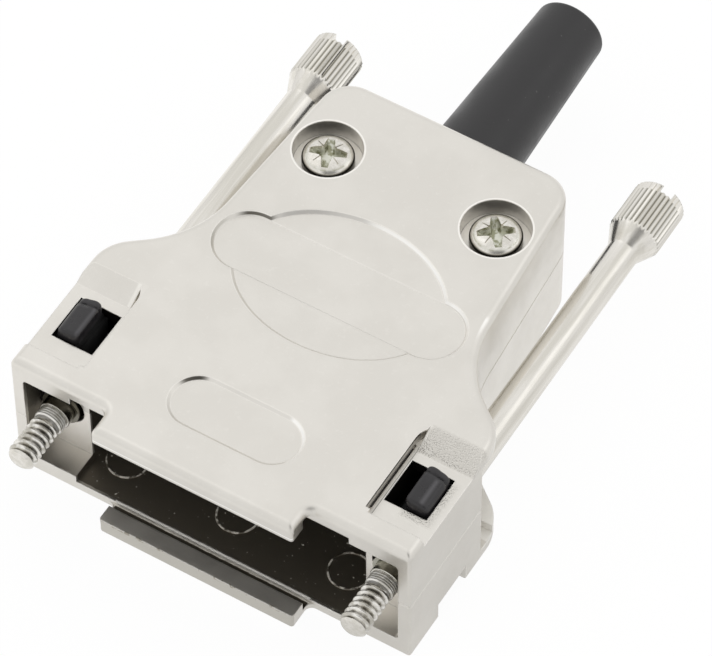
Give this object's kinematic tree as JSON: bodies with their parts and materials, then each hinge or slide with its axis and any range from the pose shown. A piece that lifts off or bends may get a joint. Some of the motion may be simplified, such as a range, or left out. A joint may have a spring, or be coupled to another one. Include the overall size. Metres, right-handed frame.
{
  "type": "d-sub hood",
  "caption": "Two-part metal hood for a D-sub connector, with long captive jackscrews, black clips, recessed case screws and a tapered rubber cable boot.",
  "frame": {"origin": "midway between the two jackscrews, where their line meets the seat of the connector flange, on the parting plane of the two halves", "axes": "+X along the line of the jackscrews, +Y from the connector to the cable, +Z out of the face that carries the case screws"},
  "size_m": [0.0398, 0.0663, 0.015],
  "materials": {
    "nickel_casting": "satin nickel plating on a zinc die casting",
    "bright_nickel": "bright nickel plating on turned steel",
    "spring_steel": "plated sheet steel",
    "black_plastic": "moulded, slightly glossy",
    "boot_rubber": "smooth matte"
  },
  "bodies": {
    "hood": {"upper_shell": "nickel_casting", "lower_shell": "nickel_casting", "case_screw_left": "bright_nickel", "case_screw_right": "bright_nickel", "clip_left": "black_plastic", "clip_right": "black_plastic", "cable_boot": "boot_rubber", "cable_clamp": "spring_steel", "clamp_screw_left": "bright_nickel", "clamp_screw_right": "bright_nickel"},
    "ring_left": {"retaining_ring_left": "spring_steel"},
    "jackscrew_left": {"thumbscrew_left": "bright_nickel"},
    "ring_right": {"retaining_ring_right": "spring_steel"},
    "jackscrew_right": {"thumbscrew_right": "bright_nickel"}
  },
  "joints": [
    {"name": "jackscrew_slide_left", "type": "slide", "parent": "hood", "child": "ring_left", "axis": [0, 1, 0], "range_m": [-0.0014, 0.0019]},
    {"name": "jackscrew_turn_left", "type": "hinge", "parent": "ring_left", "child": "jackscrew_left", "pos_m": [-0.01665, 0, 0], "axis": [0, 1, 0], "continuous": true},
    {"name": "jackscrew_slide_right", "type": "slide", "parent": "hood", "child": "ring_right", "axis": [0, 1, 0], "range_m": [-0.0014, 0.0019]},
    {"name": "jackscrew_turn_right", "type": "hinge", "parent": "ring_right", "child": "jackscrew_right", "pos_m": [0.01665, 0, 0], "axis": [0, 1, 0], "continuous": true}
  ]
}
